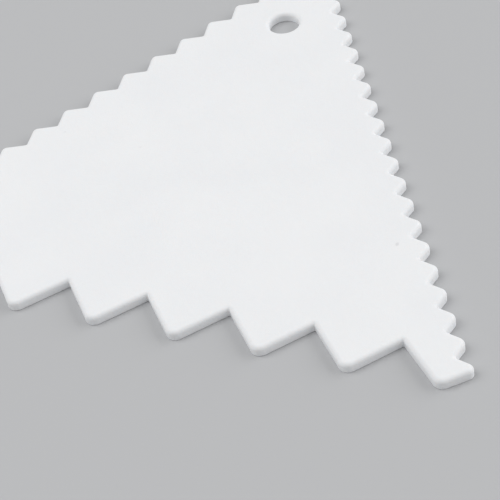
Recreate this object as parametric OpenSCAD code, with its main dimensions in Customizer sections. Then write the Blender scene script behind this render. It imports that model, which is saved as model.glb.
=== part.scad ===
// Three-sided cake comb: one flat moulded plate with the outline of an equilateral triangle. Each side
// carries a row of teeth of its own size, and a round hole below one corner hangs the comb up.
// The origin is the middle of the triangle on the underside. The large teeth face -Y and the hole is
// at +Y. Every side is seen as running counter-clockwise, from the corner where its row starts.

/* [Plate] */
// Length of each side of the triangle that the sharp tips of the teeth lie on
side_l = 110; // [90:1:130]
// Thickness of the plate
plate_t = 1.7; // [1.4:0.1:3]
// Radius along the upper edge, round the outline and round the hole
edge_r = 0.7; // [0.3:0.05:0.8]
// Radius at the bottom of the notches between the teeth
notch_r = 0.2; // [0.05:0.05:0.4]

/* [Corners] */
// Distance from a corner of the triangle to the cut that ends the corner, along the next side
corner_cut = 5; // [4:0.1:5.2]
// Angle by which the cut leans over from square to the next side
corner_lean = 10; // [0:1:14]
// Least width of plate between a row's last notch or flank and the corner's other edges
corner_land = 1.5; // [1:0.1:3]
// Radius where the cut meets the first tooth of the next side
corner_r = 1; // [0.9:0.1:1.5]

/* [Large teeth] */
// Distance from one tip to the next
large_pitch = 13.1; // [9:0.1:18]
// Angle between a flank and the line of the tips
large_slope = 47.4; // [40:0.1:52]
// Angle of the same kind for the tooth at the end of the row, which forms the corner
large_end_slope = 45; // [42:0.1:50]
// Radius of a tip
large_tip_r = 1.5; // [0.9:0.1:2.5]
// Distance from the corner where the row starts to its first tip
large_start = 10.9; // [8:0.1:12]

/* [Small teeth] */
// Distance from one tip to the next
small_pitch = 4.88; // [4:0.02:7]
// Angle between a flank and the line of the tips
small_slope = 45.5; // [40:0.1:50]
// Radius of a tip
small_tip_r = 1.2; // [0.9:0.05:1.3]
// Distance from the corner where the row starts to its first tip
small_start = 5.6; // [5.5:0.1:9]

/* [Medium teeth] */
// Distance from one tip to the next
medium_pitch = 6.34; // [5:0.02:9]
// Angle between a flank and the line of the tips
medium_slope = 38; // [30:0.5:45]
// Radius of a tip
medium_tip_r = 1; // [0.9:0.05:1.6]
// Distance from the corner where the row starts to its first tip
medium_start = 8.6; // [7:0.1:12]

/* [Hanging hole] */
// Diameter of the hole
hole_d = 5.3; // [4:0.1:8]
// Distance from the corner of the triangle down to the middle of the hole
hole_drop = 22.2; // [18:0.1:30]

/* [Hidden] */

// Largest turn between two facets of a rounded tip or notch, in degrees
arc_step = 20;
// Facets across the radius of the upper edge
edge_steps = 4;
// Facets round the hole
hole_facets = 72;
// How far the cutters stand out of the plate's faces
cut_over = 1;
// How far the last facet of the upper edge's cutter runs on past the top face, as a share of its length
run_out = 0.1;
// How far the blank stands out of the outline, and its cutter out of the blank: a third of a notch's
// radius each, so that both still have a radius in the notches
blank_over = notch_r / 3;

// Distance from the middle of the triangle to each line of tips
inner_r = side_l / (2 * sqrt(3));

// One row of teeth on each side: pitch, slope, tip radius, distance to the first tip and the slope of
// the tooth that forms the corner
ROWS = [
    [large_pitch, large_slope, large_tip_r, large_start, large_end_slope],
    [small_pitch, small_slope, small_tip_r, small_start, small_slope],
    [medium_pitch, medium_slope, medium_tip_r, medium_start, medium_slope]
];
function pitch(row) = ROWS[row][0];
function slope(row) = ROWS[row][1];
function tip_r(row) = ROWS[row][2];
function start(row) = ROWS[row][3];
function end_slope(row) = ROWS[row][4];
function after(row) = (row + 1) % len(ROWS);

// Direction of an angle, and the angle of a direction
function along(angle) = [cos(angle), sin(angle)];
function angle_of(step) = atan2(step.y, step.x);

// A line is held as a point on it and its heading, with the plate on its left
function meet(a, b) =
    a[0] + along(a[1]) * cross(b[0] - a[0], along(b[1])) / cross(along(a[1]), along(b[1]));
function depth_inside(point, line) = cross(along(line[1]), point - line[0]);

// Place on a side, given by its distance from the side's first corner and its depth below the tips
function heading(row) = 360 / len(ROWS) * row;
function place(row, distance, depth = 0) =
    (distance - side_l / 2) * along(heading(row)) + (inner_r - depth) * along(heading(row) - 90);

// Sharp tips and notches of a row, before they are rounded
function tip(row, k) = place(row, start(row) + k * pitch(row));
function notch(row, k) =
    place(row, start(row) + (k + 0.5) * pitch(row), pitch(row) / 2 * tan(slope(row)));

// The two flanks of a row's first tooth, and the cut that ends the corner where the row starts
function first_flank(row) = [tip(row, 0), heading(row) - slope(row)];
function second_flank(row) = [tip(row, 0), heading(row) + slope(row)];
function end_cut(row) = [place(row, corner_cut), heading(row) - 90 + corner_lean];

// A cut that comes nearer to the first tip than that tip's radius takes the first flank away, and runs
// into the second flank
function cut_short(row) = start(row) - corner_cut < tip_r(row);
function first_point(row) = cut_short(row)
    ? [meet(end_cut(row), second_flank(row)), corner_r]
    : [tip(row, 0), tip_r(row)];

// Only flank of a row's last tooth, from a notch into the corner ahead
function last_flank(row, k) = [notch(row, k), heading(row) - end_slope(row)];

// A row has notches for as long as they stay clear of the corner's edges, and such a last flank stays
// clear of the next row's first notch
function clearance(row, k) = min(
    depth_inside(notch(row, k), end_cut(after(row))),
    depth_inside(notch(row, k), first_flank(after(row))),
    depth_inside(notch(after(row), 0), last_flank(row, k))
);
function notch_count(row) =
    len([for (k = [0 : floor(side_l / pitch(row))]) if (clearance(row, k) > corner_land) k]);

// The row's last tooth is the corner: its flank ends at the cut, or at the next side's first flank
// where that lies further in
function corner(row) = let (
    last = last_flank(row, notch_count(row) - 1),
    cut = end_cut(after(row)),
    next = first_flank(after(row)),
    point = meet(last, next)
)
    depth_inside(point, cut) > 0
        ? [[point, tip_r(row)]]
        : concat(
            [[meet(last, cut), tip_r(row)]],
            cut_short(after(row)) ? [] : [[meet(cut, next), corner_r]]
        );

// The whole outline as sharp points, each with the radius that it is rounded to
SHARP = [
    for (row = [0 : len(ROWS) - 1]) each concat(
        [
            for (k = [0 : notch_count(row) - 1])
                each [k == 0 ? first_point(row) : [tip(row, k), tip_r(row)], [notch(row, k), notch_r]]
        ],
        corner(row)
    )
];
function point(i) = SHARP[(i + len(SHARP)) % len(SHARP)][0];
function edge(i) = point(i + 1) - point(i);

// Turn at each sharp point, positive at a tip and negative in a notch
function half_circle(angle) = angle - 360 * round(angle / 360);
TURNS = [for (i = [0 : len(SHARP) - 1]) half_circle(angle_of(edge(i)) - angle_of(edge(i - 1)))];

// Length of edge that each rounding takes, and the share of it that the edge beside it has room for
TAKEN = [for (i = [0 : len(SHARP) - 1]) SHARP[i][1] * tan(abs(TURNS[i]) / 2)];
function taken(i) = TAKEN[(i + len(SHARP)) % len(SHARP)];
function room(i) = min(1, norm(edge(i)) / (taken(i) + taken(i + 1)));

// Each rounding as centre, radius, side (1 at a tip, -1 in a notch), first angle and turn
BENDS = [
    for (i = [0 : len(SHARP) - 1]) let (
        side = sign(TURNS[i]),
        radius = SHARP[i][1] * min(room(i - 1), room(i)),
        first = angle_of(edge(i - 1)) - 90 * side,
        outwards = along(first + TURNS[i] / 2)
    )
        [point(i) - outwards * radius / cos(TURNS[i] / 2), radius, side, first, TURNS[i]]
];

// The outline drawn in by an inset, as points at one height. Each rounding has an even number of steps,
// so that it has a point in its middle and the tips keep their full reach
function bend_points(bend, inset) = let (steps = 2 * ceil(abs(bend[4]) / 2 / arc_step))
    [for (j = [0 : steps]) bend[0] + (bend[1] - bend[2] * inset) * along(bend[3] + bend[4] * j / steps)];
function outline(inset, height) =
    [for (bend = BENDS) each [for (p = bend_points(bend, inset)) [p.x, p.y, height]]];

// Inset and height of the upper edge's radius, from the wall up to the top face
EDGE = [
    for (j = [0 : edge_steps]) let (angle = 90 * j / edge_steps)
        [edge_r * (1 - cos(angle)), plate_t - edge_r * (1 - sin(angle))]
];

// Where the cutters' last facet of that radius ends, a little past the top face
EDGE_END = EDGE[edge_steps] + run_out * (EDGE[edge_steps] - EDGE[edge_steps - 1]);

// Blank that the plate is cut from, a little larger all round
module blank() {
    linear_extrude(height = plate_t)
        polygon([for (p = outline(-blank_over, 0)) [p.x, p.y]]);
}

// Cutter for the side of the plate: a closed loft round the outline. Its section goes up outside the
// blank, in over the top, and back down over the rounded edge and the wall
module side_cutter() {
    section = concat(
        [
            [-2 * blank_over, -cut_over],
            [-2 * blank_over, plate_t + cut_over],
            [EDGE_END.x, plate_t + cut_over],
            EDGE_END
        ],
        [for (j = [edge_steps - 1 : -1 : 0]) EDGE[j]],
        [[0, -cut_over]]
    );
    rings = [for (e = section) outline(e.x, e.y)];
    n = len(rings[0]);
    levels = len(rings);
    polyhedron(
        points = [for (ring = rings) each ring],
        faces = [
            for (level = [0 : levels - 1]) for (i = [0 : n - 1]) let (
                here = level * n,
                above = (level + 1) % levels * n,
                j = (i + 1) % n
            )
                [here + i, above + i, above + j, here + j]
        ],
        convexity = 10
    );
}

// Cutter for the hole, which flares at the top by the radius of the upper edge
module hole_cutter() {
    hole_r = hole_d / 2;
    translate([0, 2 * inner_r - hole_drop, 0])
        rotate_extrude($fn = hole_facets)
            polygon(concat(
                [[0, -cut_over], [hole_r, -cut_over]],
                [for (j = [0 : edge_steps - 1]) [hole_r + EDGE[j].x, EDGE[j].y]],
                [[hole_r + EDGE_END.x, EDGE_END.y]],
                [[hole_r + EDGE_END.x, plate_t + cut_over], [0, plate_t + cut_over]]
            ));
}

module comb_plate() {
    color("whitesmoke")
        difference() {
            blank();
            side_cutter();
            hole_cutter();
        }
}

comb_plate();
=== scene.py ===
import math
from collections import namedtuple

import bmesh
import bpy
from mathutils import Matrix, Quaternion, Vector


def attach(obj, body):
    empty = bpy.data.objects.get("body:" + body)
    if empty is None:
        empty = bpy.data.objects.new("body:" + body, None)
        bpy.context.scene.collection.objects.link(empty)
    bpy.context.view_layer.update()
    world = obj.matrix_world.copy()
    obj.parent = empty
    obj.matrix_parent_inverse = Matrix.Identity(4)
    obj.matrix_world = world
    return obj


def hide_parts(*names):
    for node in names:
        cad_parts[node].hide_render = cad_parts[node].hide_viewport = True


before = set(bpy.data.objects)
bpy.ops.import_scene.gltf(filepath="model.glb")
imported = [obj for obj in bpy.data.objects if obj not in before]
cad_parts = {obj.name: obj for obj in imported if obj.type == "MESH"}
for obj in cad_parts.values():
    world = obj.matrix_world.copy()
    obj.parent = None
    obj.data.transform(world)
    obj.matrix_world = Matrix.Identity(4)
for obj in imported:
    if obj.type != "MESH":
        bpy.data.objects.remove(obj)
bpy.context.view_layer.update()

# Plate: the whole comb is one flat moulding in white plastic, ejected from a two-part mould. Its upper
# edge is rounded all round and into the hanging hole; its lower edge only has the sharpness taken off.
# Each side of the triangle has teeth of its own size.

# Sizes in millimetres: the side of the triangle that the tips lie on, the plate's thickness, and the
# radii of the upper edge, the lower edge and the bottoms of the notches
MM = 0.001
side_l = 110
plate_t = 1.7
edge_r = 0.7
foot_r = 0.1
notch_r = 0.2

# The outline is drawn in by a hair, so that it stays inside the solid, which has coarser facets
hair = 0.006

# The cut that ends each corner: its distance along the side, its lean in degrees and its radius
corner_cut = 5
corner_lean = 10
corner_r = 1

# The hanging hole, and how far its middle lies below the corner of the triangle
hole_r = 5.3 / 2
hole_drop = 22.2

# Distance from the middle of the triangle to each side
inner_r = side_l / (2 * math.sqrt(3))

# A row of teeth: its pitch, the slope of its flanks, the radius of its tips, how far its first tip is
# from the corner, its number of notches, and the slope of its last tooth, which forms the next corner
Teeth = namedtuple("Teeth", "pitch slope tip_r start notches end_slope")
large_teeth = Teeth(pitch=13.1, slope=47.4, tip_r=1.5, start=10.9, notches=7, end_slope=45)
small_teeth = Teeth(pitch=4.88, slope=45.5, tip_r=1.2, start=5.6, notches=20, end_slope=45.5)
medium_teeth = Teeth(pitch=6.34, slope=38, tip_r=1, start=8.6, notches=15, end_slope=38)
rows = [large_teeth, small_teeth, medium_teeth]


def along(angle):
    """The direction of an angle in degrees."""
    return Vector((math.cos(math.radians(angle)), math.sin(math.radians(angle))))


def heading(row):
    """The direction in which a row's side of the triangle runs, in degrees."""
    return 120 * row


def place(row, distance, depth=0):
    """A point on a side, by its distance from the side's first corner and its depth below the tips."""
    return (distance - side_l / 2) * along(heading(row)) + (inner_r - depth) * along(heading(row) - 90)


def meet(a, angle_a, b, angle_b):
    """The point where two lines cross, each given by a point and a heading."""
    return a + along(angle_a) * (b - a).cross(along(angle_b)) / along(angle_a).cross(along(angle_b))


def end_cut(row):
    """The cut that ends the corner where a row starts, as a point and a heading."""
    return place(row, corner_cut), heading(row) - 90 + corner_lean


def cut_short(row):
    """Whether that cut comes nearer to the first tip than its radius, and takes its first flank away."""
    return rows[row].start - corner_cut < rows[row].tip_r


def sharp_points():
    """The outline's tips and notches before they are rounded, counter-clockwise, each with its radius."""
    points = []
    for row, teeth in enumerate(rows):
        notch_depth = teeth.pitch / 2 * math.tan(math.radians(teeth.slope))
        for k in range(teeth.notches):
            tip = place(row, teeth.start + k * teeth.pitch)
            if k == 0 and cut_short(row):
                points.append((meet(*end_cut(row), tip, heading(row) + teeth.slope), corner_r))
            else:
                points.append((tip, teeth.tip_r))
            points.append((place(row, teeth.start + (k + 0.5) * teeth.pitch, notch_depth), notch_r))

        # The row ends at the next side's cut, or at its first flank where that lies further in
        ahead = (row + 1) % len(rows)
        last_flank = points[-1][0], heading(row) - teeth.end_slope
        next_flank = place(ahead, rows[ahead].start), heading(ahead) - rows[ahead].slope
        cut_point, cut_heading = end_cut(ahead)
        crossing = meet(*last_flank, *next_flank)
        if along(cut_heading).cross(crossing - cut_point) > 0:
            points.append((crossing, teeth.tip_r))
        else:
            points.append((meet(*last_flank, cut_point, cut_heading), teeth.tip_r))
            if not cut_short(ahead):
                points.append((meet(cut_point, cut_heading, *next_flank), corner_r))
    return points


def outline_bends(arc_step=5):
    """Each rounding as a centre, a radius, a side (1 at a tip, -1 in a notch) and its points' angles."""
    points = sharp_points()
    bends = []
    for i, (point, radius) in enumerate(points):
        before = point - points[i - 1][0]
        after = points[(i + 1) % len(points)][0] - point
        first = math.degrees(math.atan2(before.y, before.x))
        turn = math.degrees(math.atan2(after.y, after.x)) - first
        turn -= 360 * round(turn / 360)
        side = 1 if turn > 0 else -1
        first -= 90 * side
        centre = point - along(first + turn / 2) * radius / math.cos(math.radians(turn / 2))
        steps = math.ceil(abs(turn) / arc_step)
        bends.append((centre, radius, side, [first + turn * j / steps for j in range(steps + 1)]))
    return bends


def edge_section(foot_steps=3, edge_steps=8):
    """Section of the plate's side from the underside to the top: inset, height and tilt of its normal."""
    section = []
    for j in range(foot_steps + 1):
        tilt = -90 + 90 * j / foot_steps
        out, up = along(tilt)
        section.append((foot_r * (1 - out), foot_r * (1 + up), tilt))
    for j in range(edge_steps + 1):
        tilt = 90 * j / edge_steps
        out, up = along(tilt)
        section.append((edge_r * (1 - out), plate_t - edge_r * (1 - up), tilt))
    return section


def build_plate(hole_facets=96):
    """The plate's mesh: a skin round the outline, one through the hole, and the two flat faces."""
    bm = bmesh.new()
    normals = []

    def add_ring(points, height, tilt):
        """A ring of vertices at one height. Each keeps its true normal, which leans up by the tilt."""
        out, up = along(tilt)
        ring = []
        for point, outwards in points:
            ring.append(bm.verts.new((point.x * MM, point.y * MM, height * MM)))
            normals.append(Vector((outwards.x * out, outwards.y * out, up)))
        return ring

    def skin(rings):
        """Joins each ring to the next one with a band of faces."""
        for low, high in zip(rings, rings[1:]):
            for i in range(len(low)):
                j = (i + 1) % len(low)
                bm.faces.new((low[i], low[j], high[j], high[i]))

    bends = outline_bends()
    outer = []
    for inset, height, tilt in edge_section():
        points = [
            (centre + (radius - side * (inset + hair)) * along(a), side * along(a))
            for centre, radius, side, angles in bends
            for a in angles
        ]
        outer.append(add_ring(points, height, tilt))
    skin(outer)

    # The hole's rings run clockwise, so that its faces look inwards
    hole = Vector((0, 2 * inner_r - hole_drop))
    spokes = [along(-360 * i / hole_facets) for i in range(hole_facets)]
    bore = []
    for inset, height, tilt in edge_section():
        points = [(hole + (hole_r + inset) * spoke, -spoke) for spoke in spokes]
        bore.append(add_ring(points, height, tilt))
    skin(bore)

    # The underside between the first rings, and the top between the last
    for end, facing in ((0, -1), (-1, 1)):
        rings = outer[end], bore[end]
        edges = [bm.edges.get((ring[i - 1], ring[i])) for ring in rings for i in range(len(ring))]
        made = bmesh.ops.triangle_fill(bm, use_beauty=True, edges=edges, normal=(0, 0, facing))
        for face in made["geom"]:
            if isinstance(face, bmesh.types.BMFace) and face.normal.z * facing < 0:
                face.normal_flip()

    mesh = bpy.data.meshes.new("white_plate")
    bm.verts.index_update()
    bm.to_mesh(mesh)
    bm.free()
    mesh.shade_smooth()
    mesh.normals_split_custom_set_from_vertices(normals)
    return mesh


# Colours: the plastic where it is a little cloudy and where it is clear, and the dust that lies on it
cloudy_white = (0.852, 0.863, 0.88, 1)
clear_white = (0.868, 0.877, 0.89, 1)
dust_grey = (0.48, 0.48, 0.5, 1)


def white_plastic():
    """White moulded plastic: satin, from a finely blasted mould, with slight scuffs on the edges."""
    material = bpy.data.materials.new("white_moulded_plastic")
    material.use_nodes = True
    nodes = material.node_tree.nodes
    shader = nodes["Principled BSDF"]
    where = nodes.new("ShaderNodeTexCoord")

    def link(source, target):
        material.node_tree.links.new(source, target)

    def noise(size, detail=2):
        """A noise whose blotches are about this many millimetres across."""
        node = nodes.new("ShaderNodeTexNoise")
        node.inputs["Scale"].default_value = 1 / (size * MM)
        node.inputs["Detail"].default_value = detail
        link(where.outputs["Object"], node.inputs["Vector"])
        return node.outputs["Fac"]

    def ramp(value, low, high, to_low=0, to_high=1):
        """A value stretched from one range to another, and held at the new range's ends."""
        node = nodes.new("ShaderNodeMapRange")
        node.interpolation_type = "SMOOTHSTEP"
        node.inputs["From Min"].default_value = low
        node.inputs["From Max"].default_value = high
        node.inputs["To Min"].default_value = to_low
        node.inputs["To Max"].default_value = to_high
        link(value, node.inputs["Value"])
        return node.outputs["Result"]

    def combine(operation, a, b):
        """Two values, or a value and a number, put together by one operation."""
        node = nodes.new("ShaderNodeMath")
        node.operation = operation
        for socket, value in zip(node.inputs, (a, b)):
            if isinstance(value, (int, float)):
                socket.default_value = value
            else:
                link(value, socket)
        return node.outputs["Value"]

    def blend(factor, a, b):
        """A colour that goes from the first to the second as the factor goes from 0 to 1."""
        node = nodes.new("ShaderNodeMix")
        node.data_type = "RGBA"
        link(factor, node.inputs["Factor"])
        for socket, value in zip((node.inputs["A"], node.inputs["B"]), (a, b)):
            if isinstance(value, tuple):
                socket.default_value = value
            else:
                link(value, socket)
        return node.outputs["Result"]

    def speck(x, y, width, height):
        """A mask for a small soft-edged spot at a place on the plate, all in millimetres."""
        offset = nodes.new("ShaderNodeMapping")
        offset.vector_type = "TEXTURE"
        offset.inputs["Location"].default_value = (x * MM, y * MM, plate_t * MM)
        offset.inputs["Scale"].default_value = (width / 2 * MM, height / 2 * MM, plate_t * MM)
        link(where.outputs["Object"], offset.inputs["Vector"])
        distance = nodes.new("ShaderNodeVectorMath")
        distance.operation = "LENGTH"
        link(offset.outputs["Vector"], distance.inputs["Vector"])
        return ramp(distance.outputs["Value"], 0.4, 1.2, 1, 0)

    # A mask of the edges: 1 on the walls, 0 on the flat faces, and between them on the rounded edge
    facing = nodes.new("ShaderNodeSeparateXYZ")
    link(where.outputs["Normal"], facing.inputs["Vector"])
    edge = ramp(combine("ABSOLUTE", facing.outputs["Z"], 0), 0.5, 0.95, 1, 0)

    # The mould's own grain, a slight unevenness of the sheet, and scuffs where the edges were rubbed
    grain = noise(0.22, 3)
    waves = noise(11, 1)
    scuffs = combine("MULTIPLY", edge, ramp(noise(0.7, 4), 0.56, 0.7))

    # Colour: a faintly cloudy white, with three grey specks of dust, two of them fainter
    body_colour = blend(ramp(noise(14), 0.3, 0.7), cloudy_white, clear_white)
    dust = speck(35, -7.1, 0.6, 0.9)
    for x, y, width, height, share in ((-26.8, 6.7, 0.5, 0.5, 0.4), (-12.4, 5.6, 0.7, 0.5, 0.3)):
        dust = combine("MAXIMUM", dust, combine("MULTIPLY", speck(x, y, width, height), share))
    colour = blend(combine("MULTIPLY", dust, 0.32), body_colour, dust_grey)
    link(colour, shader.inputs["Base Color"])

    # Roughness: dull satin, with a faint haze from handling, and duller in the scuffs
    roughness = combine("ADD", ramp(noise(8), 0.35, 0.65, 0.52, 0.59), combine("MULTIPLY", scuffs, 0.14))
    link(roughness, shader.inputs["Roughness"])

    # Relief, in millimetres, with the fine parts on top of the coarse one
    normal = None
    for height, depth in ((waves, 0.08), (grain, 0.035), (scuffs, -0.012)):
        bump = nodes.new("ShaderNodeBump")
        bump.inputs["Distance"].default_value = abs(depth) * MM
        bump.invert = depth < 0
        link(height, bump.inputs["Height"])
        if normal:
            link(normal, bump.inputs["Normal"])
        normal = bump.outputs["Normal"]
    link(normal, shader.inputs["Normal"])

    shader.inputs["IOR"].default_value = 1.49
    shader.inputs["Specular IOR Level"].default_value = 0.4
    shader.inputs["Subsurface Weight"].default_value = 0.2
    shader.inputs["Subsurface Radius"].default_value = (1, 0.9, 0.85)
    shader.inputs["Subsurface Scale"].default_value = 0.6 * MM
    return material


plate = bpy.data.objects.new("white_plate", build_plate())
bpy.context.scene.collection.objects.link(plate)
plate.data.materials.append(white_plastic())
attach(plate, "root")
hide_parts("comb_plate")

# Floor: a plain pale grey board that the comb lies on. It lies a hair below the plate, so that the two
# faces don't share one plane.
floor_size = 6
floor_drop = 0.02 * MM
floor_grey = (0.5, 0.505, 0.515, 1)
half = floor_size / 2
floor_corners = [(-half, -half), (half, -half), (half, half), (-half, half)]
floor_mesh = bpy.data.meshes.new("floor")
floor_mesh.from_pydata([(x, y, -floor_drop) for x, y in floor_corners], [], [(0, 1, 2, 3)])
floor = bpy.data.objects.new("floor", floor_mesh)
bpy.context.scene.collection.objects.link(floor)
floor_paint = bpy.data.materials.new("floor_paint")
floor_paint.use_nodes = True
paint = floor_paint.node_tree.nodes["Principled BSDF"]
paint.inputs["Base Color"].default_value = floor_grey
paint.inputs["Roughness"].default_value = 0.75
paint.inputs["Specular IOR Level"].default_value = 0.2
floor_mesh.materials.append(floor_paint)

# Camera: it looks down on the large teeth and the right-hand corner from in front and to the right,
# at the photograph's own angle, tilted to the side as the photograph is.
camera_data = bpy.data.cameras.new("camera")
camera = bpy.data.objects.new("camera", camera_data)
bpy.context.scene.collection.objects.link(camera)
camera_data.lens = 108.354
camera_data.sensor_width = 36
camera_data.clip_start = 0.01
camera_data.clip_end = 20
camera.location = Vector((91.189, -154.206, 158.662)) * MM
camera_aim = Vector((13.813, -12.882, 1.7)) * MM
camera_roll = math.radians(-11.737)
camera.rotation_mode = "QUATERNION"
level_view = (camera_aim - camera.location).to_track_quat("-Z", "Y")
camera.rotation_quaternion = level_view @ Quaternion((0, 0, 1), camera_roll)
bpy.context.scene.camera = camera

# Light: two large soft lamps, one high on the left and a wide one low on the right, and an even pale
# surrounding, at a level at which a colour facing up renders as it is written. As in the photograph,
# the sides that face the camera get the least of it.
def soft_lamp(name, spot, width, height, watts):
    """A soft rectangular lamp that is aimed at the comb. Its spot and its size are in metres."""
    data = bpy.data.lights.new(name, "AREA")
    data.shape = "RECTANGLE"
    data.size = width
    data.size_y = height
    data.energy = watts
    lamp = bpy.data.objects.new(name, data)
    bpy.context.scene.collection.objects.link(lamp)
    lamp.location = spot
    lamp.rotation_mode = "QUATERNION"
    lamp.rotation_quaternion = (-Vector(spot)).to_track_quat("-Z", "Y")


soft_lamp("left_lamp", spot=(-0.75, -0.25, 1.05), width=1.2, height=1.2, watts=9.7)
soft_lamp("right_lamp", spot=(1, 0.62, 0.55), width=1.6, height=1.1, watts=11.2)
world = bpy.data.worlds.new("surround")
world.use_nodes = True
surround = world.node_tree.nodes["Background"]
surround.inputs["Color"].default_value = (1, 1, 1, 1)
surround.inputs["Strength"].default_value = 0.425
bpy.context.scene.world = world
bpy.context.scene.view_settings.view_transform = "Standard"
